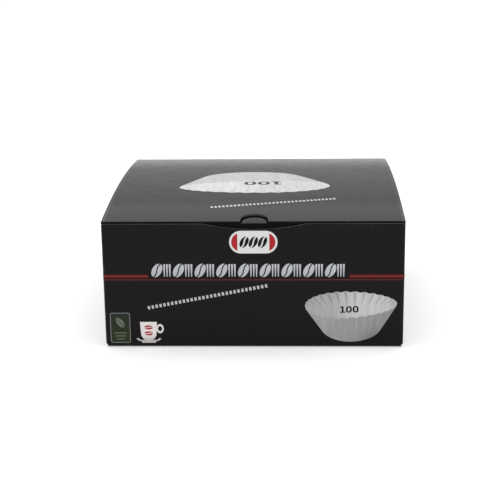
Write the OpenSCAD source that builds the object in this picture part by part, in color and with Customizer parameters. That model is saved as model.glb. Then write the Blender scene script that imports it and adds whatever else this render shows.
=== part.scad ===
// Hinged-lid card carton holding a nest of pleated basket coffee filters.
// X runs to the right, the printed front faces -Y and Z is up.
// The origin is the middle of the base.

/* [Carton] */
// Width over the side walls
body_w = 210; // [196:1:230]
// Depth over the front and back walls
body_d = 210; // [204:1:230]
// Height of the lid's front and back edges
body_h = 91; // [84:1:110]
// Thickness of the card
card_t = 0.5; // [0.4:0.05:0.7]
// Outer radius of a folded edge
fold_r = 1.2; // [0.9:0.1:2]
// Running clearance between card faces that slide past each other
slide_gap = 0.3; // [0.25:0.05:0.6]

/* [Lid] */
// How far the middle of the lid arches above its front and back edges
lid_rise = 5.4; // [3:0.2:8]
// Outer radius of the lid's front fold
lid_fold_r = 1; // [0.8:0.1:1.5]
// Length of the tuck flap below the front fold
tuck_l = 28; // [18:1:34]
// Lean of the tuck flap away from the front wall, in degrees
tuck_lean = 5; // [4.8:0.1:6]
// Space between the tuck flap's side and the side wall
tuck_side_gap = 2.5; // [1:0.5:6]
// Radius of the tuck flap's lower corners
tuck_corner_r = 10; // [4:1:16]
// Radius of the round bead along the lid's hinge crease
hinge_r = 0.3; // [0.25:0.05:0.4]

/* [Thumb notch and tab] */
// Sideways place of the notch and the tab
thumb_x = 1; // [-10:1:10]
// Width of the shallow notch in the front wall
notch_w = 72; // [50:1:90]
// Depth of the shallow notch
notch_depth = 3.8; // [2.5:0.1:6]
// Radius of the half-moon thumb tab in the lid
tab_r = 9; // [7:0.5:14]
// Width of the slit round the tab
tab_slit = 0.7; // [0.5:0.1:1.2]
// Distance from the tab's root to the centre of its round end
tab_reach = 3.3; // [1.5:0.1:4]
// Drop of the tab's root below the lid's front fold
tab_drop = 1.5; // [1.2:0.1:2.2]
// Rise of the tab towards its tip, in degrees
tab_slope = 8; // [5:0.5:9]

/* [Flaps] */
// Length of each side flap folded in under the lid
dust_l = 75; // [60:1:85]
// Space between the front wall and a side flap, where the tuck flap goes
dust_front_gap = 3; // [2.5:0.5:8]
// Space between the back wall and a side flap
dust_back_gap = 0.8; // [0.5:0.1:3]
// Cut-off length of a side flap's free corners
dust_chamfer = 12; // [5:1:20]
// Length of each side flap of the glued bottom
bottom_dust_l = 70; // [60:1:80]
// Length of the bottom's inner panel, from the back wall
inner_panel_l = 130; // [110:1:160]
// Space between the outer bottom panel's free edge and the back wall's face
outer_panel_gap = 1.7; // [1.4:0.1:4]
// Width of the glued seam inside the back left corner
seam_w = 14; // [10:1:20]
// Space above and below the glued seam
seam_end_gap = 4; // [3:0.5:8]

/* [Filters] */
// Number of filters in the nest
filter_count = 100; // [60:1:120]
// Diameter of a filter's flat base
filter_base_d = 108; // [90:1:120]
// Rise of one filter over the next in the nest
filter_pitch = 0.26; // [0.2:0.01:0.3]
// Space between the filters' rims and the nearest wall
filter_side_gap = 5.5; // [4:0.5:10]
// Space between the top rim and the side flaps
filter_headroom = 2.5; // [1.5:0.5:6]
// Number of pleats round a filter
flute_count = 48; // [36:1:56]
// Depth of a pleat at the rim
flute_depth = 5; // [3:0.5:7]

/* [Front print] */
// Thickness of a printed film
film_t = 0.1; // [0.05:0.05:0.15]
// Distance from the front wall's top edge down to the wide stripe's lower edge
stripe_drop = 38.3; // [37:0.1:40]
// Width of the wide stripe
stripe_w = 1.8; // [1:0.1:2.4]
// Width of the thin stripe
thin_stripe_w = 0.6; // [0.4:0.1:1]
// Space between the two stripes
stripe_gap = 1.6; // [1:0.1:2]
// Length of the ornament row
ornament_w = 136; // [110:1:150]
// Height of the ornament row
ornament_h = 10.8; // [8:0.2:11]
// Sideways place of the ornament row's middle
ornament_x = -3.3; // [-5:0.1:5]
// Space between the ornament row and the wide stripe's ends
ornament_gap = 2.2; // [1:0.1:4]
// Number of beans in the ornament row
bean_count = 9; // [7:1:10]
// Width of the oval badge
badge_w = 33.5; // [24:0.5:38]
// Height of the oval badge
badge_h = 16.2; // [12:0.2:17]
// Space between the badge and the front wall's top edge
badge_drop = 4.9; // [4.4:0.1:6]
// Sideways place of the badge
badge_x = 0.4; // [-2:0.1:2]
// Width of the filter picture
picture_w = 64.6; // [50:0.2:70]
// Space between the filter picture and the thin stripe
picture_gap = 8; // [4:0.1:10]
// Space between the filter picture and the right edge
picture_side = 3.9; // [3:0.1:10]
// Space between the filter picture and the base
picture_foot = 3.8; // [2:0.1:5]
// Turn of the filter picture about its foot, in degrees
picture_turn = 1.5; // [0:0.1:3]
// Height of the figures in the filter picture
figure_h = 4.8; // [3:0.1:5]
// Sideways place of the figures from the middle of the picture's rim
figure_x = -0.9; // [-4:0.1:4]
// Drop of the figures below the middle of the picture's rim
figure_drop = 3.4; // [2:0.1:5]
// Width of the green label
label_w = 14.2; // [10:0.2:16]
// Height of the green label
label_h = 22.4; // [16:0.2:24]
// Space between the label and the left edge
label_side = 3.6; // [2.6:0.1:5]
// Space between the label or the cup and the base
label_foot = 2.8; // [2:0.1:5]
// Height of the cup and saucer
cup_h = 15.6; // [10:0.2:17]
// Space between the label and the cup's saucer
cup_gap = 4; // [2:0.1:6]
// Length of the rising row of dashes
dash_row_l = 85; // [60:1:90]
// Slant of the rising row, in degrees
dash_row_slant = 11; // [8:0.2:13]
// Distance from the left edge to the row's start
dash_row_side = 31.5; // [24:0.5:40]
// Distance from the thin stripe down to the row's start
dash_row_drop = 20.2; // [19.4:0.2:21.2]
// Length of one dash
dash_l = 1.6; // [1:0.1:2.2]
// Width of one dash
dash_w = 2.4; // [0.8:0.1:2.6]
// Spacing of the dashes
dash_pitch = 2.8; // [2.6:0.1:5]

/* [Lid print] */
// Width of the lid's filter picture
lid_picture_w = 113.8; // [90:0.2:130]
// Depth of the lid's filter picture, from its rim edge to its foot
lid_picture_h = 69.5; // [50:0.5:80]
// Sideways place of the lid's picture
lid_picture_x = -4.9; // [-6:0.1:6]
// Distance from the lid's middle to the picture's front, rim edge
lid_picture_front = 39.1; // [30:0.1:45]
// Turn of the lid's picture about its foot, in degrees
lid_picture_turn = 2; // [0:0.5:4]
// Sideways shift of the rim from the foot in the lid's picture
lid_picture_lean = -2; // [-4:0.5:4]
// Height of the figures in the lid's picture
lid_figure_h = 10.5; // [7:0.5:12]
// Sideways place of the lid's figures from the middle of the picture's rim
lid_figure_x = -5.7; // [-8:0.1:8]
// Drop of the lid's figures below the middle of the picture's rim
lid_figure_drop = 10.3; // [8:0.1:11]
// Length of the slanted row of dashes on the lid
lid_dash_row_l = 90; // [60:1:100]
// Slant of the lid's row, in degrees
lid_dash_row_slant = 12.4; // [6:0.1:13]
// Distance from the right edge to the row's start
lid_dash_row_side = 47.5; // [40:0.5:60]
// Distance from the front edge to the row's start
lid_dash_row_front = 50.5; // [44:0.5:52]
// Width of one dash on the lid
lid_dash_w = 3.2; // [1.6:0.1:3.6]

/* [Hidden] */
$fn = 48;
black = "#221f20";
white = "#e6e8ea";
grey = "#a6a8a8";
lid_grey = "#c6c8c8";

// Levels of the bottom's three layers, from the outside in
outer_z = 0;
inner_z = card_t;
bottom_dust_z = 2 * card_t;
floor_z = 3 * card_t;
// Centres of the bottom folds
front_fold_z = outer_z + fold_r;
back_fold_z = inner_z + fold_r;
side_fold_z = bottom_dust_z + fold_r;

// The side flaps' top face lies just under the lid's edges
lid_under_z = body_h - card_t;
dust_top_z = lid_under_z - slide_gap;
side_top_z = dust_top_z - fold_r;
// The lid turns on a bead along the top of the back wall
crease_gap = 0.1;
hinge_y = body_d / 2 - hinge_r;
hinge_z = body_h - hinge_r;
back_top_z = hinge_z - 2 * hinge_r - crease_gap;
// The front wall stops short of the lid's fold
fold_gap = 0.3;
front_top_z = body_h - lid_fold_r - fold_gap;
front_inner_y = -body_d / 2 + card_t;

// The lid is an arc from the hinge to the front fold
arch_r = (pow(hinge_y, 2) + pow(lid_rise, 2)) / (2 * lid_rise);
arch_z = body_h + lid_rise - arch_r;
arch_back = asin(hinge_y / arch_r);
lid_fold_y = front_inner_y + slide_gap + lid_fold_r;
lid_fold_z = arch_z + sqrt(pow(arch_r - lid_fold_r, 2) - pow(lid_fold_y, 2));
arch_front = asin(lid_fold_y / (arch_r - lid_fold_r));
ARCH_STEPS = 24;
FOLD_STEPS = 6;
// Short straight stretch below the fold, over the lid's whole width
TUCK_ROOT = 0.4;
// The tuck flap starts where the front fold ends
tuck_y = lid_fold_y - lid_fold_r * cos(tuck_lean);
tuck_z = lid_fold_z - lid_fold_r * sin(tuck_lean);
tuck_w = body_w - 2 * card_t - 2 * tuck_side_gap;
// The thumb tab's root is on the tuck flap, a little below the fold
tab_z = lid_fold_z + lid_fold_r - tab_drop;
tab_y = tuck_y + (tuck_z - tab_z) * tan(tuck_lean);
tab_centre_y = tab_y + tab_reach;

// The nest fills the carton up to the side flaps, and one filter is as tall as the nest leaves it
nest_h = dust_top_z - card_t - filter_headroom - floor_z;
nest_rise = (filter_count - 1) * filter_pitch;
filter_h = nest_h - nest_rise;
// The rim's crests stay the side gap away from the nearest wall
rim_r = min(body_w, body_d) / 2 - card_t - filter_side_gap - flute_depth / 2;
base_r = filter_base_d / 2;
// A pleat has four points: crest, flank, valley, flank
FLUTE_POINTS = 4;
around = flute_count * FLUTE_POINTS;
// Places up the wall of one filter, as shares of its height
FLARE = [0, 0.08, 0.3, 0.55, 0.8, 1];

// How steeply a pleated wall flares: 1 is a straight cone
FLARE_POWER = 1.15;

// Print
stripe_z = front_top_z - stripe_drop;
thin_stripe_z = stripe_z - stripe_gap - thin_stripe_w;
dash_row_z = thin_stripe_z - dash_row_drop;
picture_h = thin_stripe_z - picture_gap - picture_foot;
// The ornament row's foot reaches a little below the wide stripe's lower edge
ornament_sink = 0.5;
ornament_z = stripe_z - ornament_sink + ornament_h / 2;
badge_z = front_top_z - badge_drop - badge_h / 2;
picture_x = body_w / 2 - picture_side - picture_w / 2;
label_x = -body_w / 2 + label_side + label_w / 2;
// Half width of the saucer as a share of the cup's height
SAUCER = 0.57;
cup_x = label_x + label_w / 2 + cup_gap + cup_h * SAUCER;
dash_count = floor(dash_row_l / dash_pitch) + 1;
lid_dash_count = floor(lid_dash_row_l / dash_pitch) + 1;
OVER = 1;

// Points of an arc about c, from angle a to angle b
function arc_points(c, r, a, b, steps) =
    [for (i = [0:steps]) let (t = a + (b - a) * i / steps) c + r * [cos(t), sin(t)]];

// Points of an ellipse about c
function oval_points(c, rx, ry, steps) =
    [for (i = [0:steps - 1]) let (t = 360 * i / steps) c + [rx * cos(t), ry * sin(t)]];

// Places a flat drawing of Y and Z so that its extrusion runs along X
module along_x(length) {
    rotate([90, 0, 90]) linear_extrude(length, center = true) children();
}

// Places a flat drawing of X and Z so that its extrusion runs along Y
module along_y(length) {
    rotate([90, 0, 0]) linear_extrude(length, center = true) children();
}

// Rectangle with round corners, about the origin
module round_rect(w, h, r) {
    square([w - 2 * r, h], center = true);
    square([w, h - 2 * r], center = true);
    for (sx = [-1, 1], sy = [-1, 1])
        translate([sx * (w / 2 - r), sy * (h / 2 - r)]) circle(r);
}

// Rectangle with half-round ends, about the origin
module pill(w, h) {
    square([w - h, h], center = true);
    for (s = [-1, 1]) translate([s * (w - h) / 2, 0]) circle(h / 2);
}

// Quarter of a card fold, in the quadrant that the two signs name
module fold_section(sx, sy) {
    intersection() {
        difference() {
            circle(fold_r);
            circle(fold_r - card_t);
        }
        translate([min(sx, 0) * fold_r, min(sy, 0) * fold_r]) square(fold_r);
    }
}

// The four walls as one tube, and the front and back walls' longer ends
module walls() {
    translate([0, 0, side_fold_z]) linear_extrude(side_top_z - side_fold_z) difference() {
        round_rect(body_w, body_d, fold_r);
        round_rect(body_w - 2 * card_t, body_d - 2 * card_t, fold_r - card_t);
    }
    front_w = body_w - 2 * fold_r;
    translate([-front_w / 2, -body_d / 2, front_fold_z])
        cube([front_w, card_t, front_top_z - front_fold_z]);
    translate([-front_w / 2, body_d / 2 - card_t, back_fold_z])
        cube([front_w, card_t, back_top_z - back_fold_z]);
}

// Three glued layers: the outer panel, the inner panel and two side flaps
module bottom() {
    panel_w = body_w - 2 * fold_r;
    front_y = -body_d / 2 + fold_r;
    back_y = body_d / 2 - fold_r;
    translate([0, front_y, front_fold_z]) along_x(panel_w) fold_section(-1, -1);
    translate([-panel_w / 2, front_y, outer_z])
        cube([panel_w, body_d / 2 - outer_panel_gap - front_y, card_t]);
    translate([0, back_y, back_fold_z]) along_x(panel_w) fold_section(1, -1);
    translate([-panel_w / 2, body_d / 2 - inner_panel_l, inner_z])
        cube([panel_w, inner_panel_l - fold_r, card_t]);
    flap_w = body_d - 2 * card_t - 2 * fold_r;
    for (s = [-1, 1]) {
        side_x = s * (body_w / 2 - fold_r);
        translate([side_x, 0, side_fold_z]) along_y(flap_w) fold_section(s, -1);
        translate([s * (body_w - fold_r - bottom_dust_l) / 2, 0, bottom_dust_z + card_t / 2])
            cube([bottom_dust_l - fold_r, flap_w, card_t], center = true);
    }
}

// The two side flaps folded in under the lid
module dust_flaps() {
    front_y = front_inner_y + dust_front_gap;
    back_y = body_d / 2 - card_t - dust_back_gap;
    root_x = body_w / 2 - fold_r;
    tip_x = body_w / 2 - dust_l;
    for (s = [-1, 1]) {
        translate([s * root_x, (front_y + back_y) / 2, side_top_z])
            along_y(back_y - front_y) fold_section(s, 1);
        translate([0, 0, dust_top_z - card_t]) linear_extrude(card_t) polygon([
            [s * root_x, front_y],
            [s * (tip_x + dust_chamfer), front_y],
            [s * tip_x, front_y + dust_chamfer],
            [s * tip_x, back_y - dust_chamfer],
            [s * (tip_x + dust_chamfer), back_y],
            [s * root_x, back_y]]);
    }
}

// Strip of card glued inside the left wall at the back corner
module glued_seam() {
    low = side_fold_z + seam_end_gap;
    high = side_top_z - seam_end_gap;
    back_y = body_d / 2 - card_t;
    translate([-body_w / 2 + 1.5 * card_t, 0, 0]) along_x(card_t) polygon([
        [back_y, low], [back_y, high],
        [back_y - seam_w, high - seam_w / 4], [back_y - seam_w, low + seam_w / 4]]);
}

// Shallow round notch in the front wall's top edge
module thumb_notch() {
    notch_r = (pow(notch_w / 2, 2) + pow(notch_depth, 2)) / (2 * notch_depth);
    translate([thumb_x, -body_d / 2 + card_t / 2, front_top_z - notch_depth + notch_r])
        rotate([90, 0, 0]) cylinder(h = card_t + 2 * slide_gap, r = notch_r, center = true, $fn = 360);
}

module carton() {
    color(black) difference() {
        union() {
            walls();
            bottom();
            dust_flaps();
            glued_seam();
        }
        thumb_notch();
    }
}

// Arched panel and front fold, as one strip of card seen from the side
module lid_section() {
    c = [0, arch_z];
    f = [lid_fold_y, lid_fold_z];
    down = TUCK_ROOT * [sin(tuck_lean), -cos(tuck_lean)];
    end = [cos(180 + tuck_lean), sin(180 + tuck_lean)];
    polygon(concat(
        arc_points(c, arch_r, 90 - arch_back, 90 - arch_front, ARCH_STEPS),
        arc_points(f, lid_fold_r, 90 - arch_front, 180 + tuck_lean, FOLD_STEPS),
        [f + lid_fold_r * end + down, f + (lid_fold_r - card_t) * end + down],
        arc_points(f, lid_fold_r - card_t, 180 + tuck_lean, 90 - arch_front, FOLD_STEPS),
        arc_points(c, arch_r - card_t, 90 - arch_front, 90 - arch_back, ARCH_STEPS)));
}

// Flap that goes down behind the front wall
module tuck_flap() {
    translate([0, tuck_y, tuck_z]) rotate([tuck_lean, 0, 0])
        translate([0, card_t / 2, 0]) along_y(card_t) {
            translate([0, -tuck_l / 2]) round_rect(tuck_w, tuck_l, tuck_corner_r);
            translate([-tuck_w / 2, -tuck_l / 2]) square([tuck_w, tuck_l / 2]);
        }
}

// Half-moon about its round end's centre, with straight sides of the given length
module half_moon(r, sides) {
    circle(r);
    translate([-r, -sides]) square([2 * r, sides]);
}

// Half-moon tab that the thumb presses, joined to the tuck flap at its straight root
module thumb_tab() {
    translate([thumb_x, tab_y, tab_z]) rotate([tab_slope, 0, 0])
        translate([0, 0, -card_t]) linear_extrude(card_t) intersection() {
            translate([0, tab_reach]) half_moon(tab_r, tab_reach);
            translate([-tab_r, 0]) square([2 * tab_r, tab_r + tab_reach]);
        }
}

module lid() {
    color(black) {
        difference() {
            union() {
                along_x(body_w) lid_section();
                tuck_flap();
            }
            translate([thumb_x, tab_centre_y, tab_z]) linear_extrude(lid_rise + tab_drop)
                half_moon(tab_r + tab_slit, tab_r + tab_slit);
        }
        thumb_tab();
        translate([0, hinge_y, hinge_z]) rotate([0, 90, 0])
            cylinder(h = body_w - 2 * fold_r, r = hinge_r, center = true);
    }
}

// One ring of pleated paper: mean radius, height and pleat depth at a share of the filter's height
function pleat_ring(share, lift) = [
    base_r + (rim_r - base_r) * share,
    floor_z + lift + filter_h * pow(share, FLARE_POWER),
    flute_depth / 2 * share];

function ring_points(ring) =
    [for (i = [0:around - 1]) let (a = 360 * i / around, r = ring[0] + ring[2] * cos(flute_count * a))
        [r * cos(a), r * sin(a), ring[1]]];

// The nest: up the outermost filter's wall, up its rims, and down the innermost filter's wall
module filter_stack() {
    last = len(FLARE) - 1;
    rings = concat(
        [for (share = FLARE) pleat_ring(share, 0)],
        [for (i = [last:-1:0]) pleat_ring(FLARE[i], nest_rise)]);
    points = concat(
        [[0, 0, floor_z]],
        [for (ring = rings) each ring_points(ring)],
        [[0, 0, floor_z + nest_rise]]);
    top = len(points) - 1;
    faces = concat(
        [for (i = [0:around - 1]) [0, 1 + i, 1 + (i + 1) % around]],
        [for (k = [0:len(rings) - 2], i = [0:around - 1])
            let (a = 1 + k * around, j = (i + 1) % around)
            each [[a + i, a + around + i, a + around + j], [a + i, a + around + j, a + j]]],
        [for (i = [0:around - 1])
            let (a = 1 + (len(rings) - 1) * around) [a + i, top, a + (i + 1) % around]]);
    color(white) polyhedron(points, faces, convexity = 10);
}

// Carries a flat drawing of X and Z onto the front wall as a thin film
module on_front() {
    translate([0, -body_d / 2 - film_t / 2, 0]) along_y(film_t) children();
}

// Carries a flat drawing of X and Y up onto the arched lid as a thin film
module on_lid() {
    high = body_h + lid_rise + OVER;
    intersection() {
        along_x(body_w - 2 * OVER) polygon(concat(
            arc_points([0, arch_z], arch_r + film_t, 90 - arch_back, 90 - arch_front, ARCH_STEPS),
            arc_points([0, arch_z], arch_r, 90 - arch_front, 90 - arch_back, ARCH_STEPS)));
        linear_extrude(high) children();
    }
}

// Coffee bean: an oval with a wavy slit along it
module bean(length, width, slit) {
    steps = 10;
    wave = [for (i = [0:steps]) let (t = i / steps - 0.5) [t * length * 1.1, width * 0.1 * sin(360 * t)]];
    difference() {
        polygon(oval_points([0, 0], length / 2, width / 2, 24));
        polygon(concat(
            [for (p = wave) p + [0, slit / 2]],
            [for (i = [steps:-1:0]) wave[i] - [0, slit / 2]]));
    }
}

// Row of slanted beans with three tapered pleats after each
module ornament_row() {
    cell = ornament_w / bean_count;
    bean_l = ornament_h;
    bean_wd = ornament_h * 0.62;
    bar = cell * 0.075;
    for (k = [0:bean_count - 1]) translate([-ornament_w / 2 + cell * k, 0]) {
        translate([cell * 0.28, 0]) rotate(60) bean(bean_l, bean_wd, ornament_h * 0.08);
        for (j = [0:2]) translate([cell * (0.62 + 0.13 * j), 0])
            polygon([[-bar * 0.3, -ornament_h * 0.42], [bar * 0.3, -ornament_h * 0.42],
                [bar * 0.62, ornament_h * 0.42], [-bar * 0.62, ornament_h * 0.42]]);
    }
}

// Slanted row of equal dashes, from the origin to the right
module dash_row(count, width) {
    for (k = [0:count - 1]) translate([k * dash_pitch, 0]) square([dash_l, width], center = true);
}

// Plain figures 1, 0 and 0 of height h
module hundred(h) {
    stroke = h * 0.27;
    zero_w = h * 0.86;
    translate([-h * 1.02, 0]) {
        square([stroke, h], center = true);
        translate([0, -h / 2 + stroke * 0.35]) square([stroke * 2.8, stroke * 0.7], center = true);
        translate([-stroke * 0.85, h / 2 - stroke * 0.6]) square([stroke, stroke * 0.7], center = true);
    }
    for (k = [0, 1]) translate([-h * 0.12 + k * h * 0.98, 0]) difference() {
        round_rect(zero_w, h, zero_w * 0.45);
        round_rect(zero_w - 2 * stroke, h - 1.5 * stroke, (zero_w - 2 * stroke) * 0.45);
    }
}

// Pleated filter seen from a little above, w wide and h tall on its foot.
// Its lean is the rim's shift from the foot.
PICTURE_PLEATS = 30;
PLEAT_STEP = 180 / PICTURE_PLEATS;
RIM_FLATNESS = 0.268;
// How much fuller the rim is on its left
RIM_SKEW = 0.15;
// Depth of the rim's waves as a share of its size, across and up
SCALLOP = [0.015, 0.09];
FOOT_WIDTH = 0.335;
FOOT_FLATNESS = 0.335;
// Angle on the foot where the sides run smoothly into it
FOOT_START = 21;

function rim_middle(h, lean) = [lean, h * (1 - RIM_FLATNESS)];

// Point of the picture's scalloped rim at angle a; in is 0 on a crest and 1 in a valley
function rim_point(w, h, lean, a, in) = rim_middle(h, lean) + [
    w / 2 * cos(a) * (1 - SCALLOP.x * in),
    h * RIM_FLATNESS * sin(a) * (1 - RIM_SKEW * cos(a)) * (1 - SCALLOP.y * in)];

function foot_point(w, h, a) = [w * FOOT_WIDTH * cos(a), h * FOOT_FLATNESS * (1 + sin(a))];

module picture_mouth(w, h, lean) {
    polygon([for (k = [0:2 * PICTURE_PLEATS - 1]) rim_point(w, h, lean, k * PLEAT_STEP, k % 2)]);
}

// The outer wall below the near rim, between the two crests where its sides leave the rim
module picture_wall(w, h, lean) {
    leave = 2;
    foot_steps = 16;
    foot_turn = 180 - 2 * FOOT_START;
    polygon(concat(
        [for (k = [leave:PICTURE_PLEATS - leave]) rim_point(w, h, lean, 180 + k * PLEAT_STEP, k % 2)],
        [for (k = [foot_steps:-1:0]) foot_point(w, h, 180 + FOOT_START + foot_turn * k / foot_steps)]));
}

// Shaded folds down the inside of the far wall
module picture_folds(w, h, lean) {
    near = 0.75;
    sink = [0, h * RIM_FLATNESS * 0.3];
    tip = [w * 0.004, 0];
    for (k = [2:2:PICTURE_PLEATS - 2]) {
        a = k * PLEAT_STEP;
        out = rim_point(w, h, lean, a, 0) - rim_middle(h, lean);
        deep = rim_middle(h, lean) + [near * out.x, out.y * 0.2] - sink;
        polygon([
            rim_point(w, h, lean, a + PLEAT_STEP * 0.5, -2),
            rim_point(w, h, lean, a - PLEAT_STEP * 0.3, -2),
            deep + tip, deep - tip]);
    }
}

// Lit folds down the outer wall
module picture_ribs(w, h, lean) {
    lift = [0, h * 0.06];
    for (k = [4:2:PICTURE_PLEATS - 4]) let (a = 180 + k * PLEAT_STEP)
        polygon([rim_point(w, h, lean, a, 1.6), rim_point(w, h, lean, a + PLEAT_STEP * 0.4, 1.6),
            foot_point(w, h, a + PLEAT_STEP / 2) + lift]);
}

// The picture's light paper, with the children left open
module picture_light(w, h, lean) {
    difference() {
        union() {
            difference() {
                picture_mouth(w, h, lean);
                picture_folds(w, h, lean);
                picture_wall(w, h, lean);
            }
            intersection() {
                picture_ribs(w, h, lean);
                picture_wall(w, h, lean);
            }
        }
        children();
    }
}

// The picture's shaded paper, with the children left open
module picture_shade(w, h, lean) {
    difference() {
        picture_wall(w, h, lean);
        picture_ribs(w, h, lean);
        children();
    }
    difference() {
        intersection() {
            picture_folds(w, h, lean);
            picture_mouth(w, h, lean);
        }
        picture_wall(w, h, lean);
        children();
    }
}

// Plain figures in the front's picture and in the lid's
module front_figures() {
    translate(rim_middle(picture_h, 0) + [figure_x, -figure_drop]) hundred(figure_h);
}

module lid_figures() {
    middle = rim_middle(lid_picture_h, lid_picture_lean);
    translate(middle + [lid_figure_x, -lid_figure_drop]) hundred(lid_figure_h);
}

// Oval badge: white ground, a red field at each end and three beans left open
module badge_red() {
    inset = badge_h * 0.09;
    difference() {
        pill(badge_w - 2 * inset, badge_h - 2 * inset);
        square([badge_w * 0.66, badge_h], center = true);
    }
}

// The badge's white ground
module badge_white() {
    difference() {
        pill(badge_w, badge_h);
        badge_red();
        for (k = [-1:1]) translate([k * badge_w * 0.19, 0])
            rotate(60) bean(badge_h * 0.56, badge_h * 0.34, badge_h * 0.06);
    }
}

// Two beans on the cup, one over the other
module cup_mark(h) {
    for (level = [0.45, 0.74]) translate([0, h * level]) bean(h * 0.4, h * 0.2, h * 0.035);
}

// Cup's bowl: straight sides that narrow from the rim and run smoothly into a round bottom
module cup_bowl(h) {
    round_r = 0.35;
    round_z = 0.45;
    polygon(h * concat(
        [[-0.385, 1], [0.385, 1]],
        [for (a = [-4:-8:-176]) [round_r * cos(a), round_z + round_r * sin(a)]]));
}

// Cup and saucer on their foot, h high in all
module cup_white(h) {
    difference() {
        cup_bowl(h);
        cup_mark(h);
    }
    difference() {
        translate([h * 0.52, h * 0.68]) scale([0.167, 0.22]) circle(h);
        translate([h * 0.52, h * 0.68]) scale([0.09, 0.125]) circle(h);
        cup_bowl(h);
    }
    side = [
        [SAUCER - 0.2, 0.14], [SAUCER - 0.09, 0.225], [SAUCER, 0.2],
        [SAUCER - 0.12, 0.1], [0.33, 0.08], [0.31, 0]];
    polygon(h * concat(side, [for (k = [len(side) - 1:-1:0]) [-side[k].x, side[k].y]]));
}

// Label with a pale outline, a leaf and three plain bars
module label_pale() {
    line = label_w * 0.038;
    difference() {
        round_rect(label_w, label_h, label_w * 0.1);
        round_rect(label_w - 2 * line, label_h - 2 * line, label_w * 0.1 - line);
    }
    leaf_r = label_w * 0.42;
    translate([0, label_h * 0.17]) rotate(35) difference() {
        intersection() {
            translate([leaf_r * 0.62, 0]) circle(leaf_r);
            translate([-leaf_r * 0.62, 0]) circle(leaf_r);
        }
        translate([0, -leaf_r * 0.2]) square([line * 0.8, leaf_r * 1.4], center = true);
    }
    for (k = [0:2]) translate([0, -label_h * (0.17 + 0.1 * k)])
        square([label_w * (0.62 - 0.1 * k), line * 1.4], center = true);
}

module label_green() {
    difference() {
        round_rect(label_w, label_h, label_w * 0.1);
        label_pale();
    }
}

// Band round the four walls
module wall_band(low, width) {
    translate([0, 0, low]) linear_extrude(width) difference() {
        round_rect(body_w + 2 * film_t, body_d + 2 * film_t, fold_r + film_t);
        round_rect(body_w, body_d, fold_r);
    }
}

module red_print() {
    color("#a8373a") {
        difference() {
            wall_band(stripe_z, stripe_w);
            translate([ornament_x, -body_d / 2, stripe_z])
                cube([ornament_w + 2 * ornament_gap, 2 * OVER, 4 * stripe_w], center = true);
        }
        wall_band(thin_stripe_z, thin_stripe_w);
        on_front() {
            translate([badge_x, badge_z]) badge_red();
            translate([cup_x, label_foot]) cup_mark(cup_h);
        }
    }
}

module front_picture_place() {
    translate([picture_x, picture_foot]) rotate(picture_turn) children();
}

module silver_print() {
    color("#b6b8c2") on_front() translate([ornament_x, ornament_z]) ornament_row();
}

module white_print() {
    color(white) on_front() {
        translate([badge_x, badge_z]) badge_white();
        translate([cup_x, label_foot]) cup_white(cup_h);
        front_picture_place() picture_light(picture_w, picture_h, 0) front_figures();
        translate([-body_w / 2 + dash_row_side, dash_row_z]) rotate(dash_row_slant)
            dash_row(dash_count, dash_w);
    }
}

module grey_print() {
    color(grey) on_front() {
        front_picture_place() picture_shade(picture_w, picture_h, 0) front_figures();
        translate([label_x, label_foot + label_h / 2]) label_pale();
    }
}

module green_print() {
    color("#34472b") on_front() translate([label_x, label_foot + label_h / 2]) label_green();
}

// Puts a drawing of the filter on the lid upside down, as seen from the front
module lid_picture_place() {
    translate([lid_picture_x, -lid_picture_front + lid_picture_h]) rotate(180 + lid_picture_turn) children();
}

module lid_white_print() {
    color(white) on_lid() {
        lid_picture_place() picture_light(lid_picture_w, lid_picture_h, lid_picture_lean) lid_figures();
        translate([body_w / 2 - lid_dash_row_side, -body_d / 2 + lid_dash_row_front])
            rotate(180 + lid_dash_row_slant) dash_row(lid_dash_count, lid_dash_w);
    }
}

module lid_grey_print() {
    color(lid_grey) on_lid() lid_picture_place()
        picture_shade(lid_picture_w, lid_picture_h, lid_picture_lean) lid_figures();
}

carton();
lid();
filter_stack();
red_print();
silver_print();
white_print();
grey_print();
green_print();
lid_white_print();
lid_grey_print();
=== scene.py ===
"""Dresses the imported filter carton: folded card, a nest of pleated paper filters and printed inks."""

import math
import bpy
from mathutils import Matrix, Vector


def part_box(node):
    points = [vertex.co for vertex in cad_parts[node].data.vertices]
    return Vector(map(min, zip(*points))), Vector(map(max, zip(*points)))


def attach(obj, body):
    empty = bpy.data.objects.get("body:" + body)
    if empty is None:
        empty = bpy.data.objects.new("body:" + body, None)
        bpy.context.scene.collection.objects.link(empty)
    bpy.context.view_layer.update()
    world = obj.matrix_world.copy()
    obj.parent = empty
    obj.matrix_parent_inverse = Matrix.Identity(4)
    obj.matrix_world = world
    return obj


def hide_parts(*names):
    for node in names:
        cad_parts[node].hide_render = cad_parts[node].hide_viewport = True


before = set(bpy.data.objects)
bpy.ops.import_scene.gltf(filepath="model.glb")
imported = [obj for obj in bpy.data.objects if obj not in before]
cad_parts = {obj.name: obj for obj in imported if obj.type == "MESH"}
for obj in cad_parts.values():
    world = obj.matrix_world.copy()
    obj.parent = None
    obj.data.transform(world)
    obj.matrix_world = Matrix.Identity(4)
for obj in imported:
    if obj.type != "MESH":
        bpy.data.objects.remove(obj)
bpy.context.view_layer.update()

from types import SimpleNamespace

import bmesh
import bpy
import numpy as np
from bpy.props import FloatProperty, FloatVectorProperty, IntProperty, PointerProperty
from mathutils import Matrix, Vector

bl_info = {
    "name": "Coffee filter carton",
    "version": (1, 0, 0),
    "blender": (4, 5, 0),
    "location": "3D View > Sidebar > Filter carton",
    "description": "Dresses the carton's frame in folded card, nested paper filters and printed inks",
    "category": "Add Mesh",
}

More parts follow.
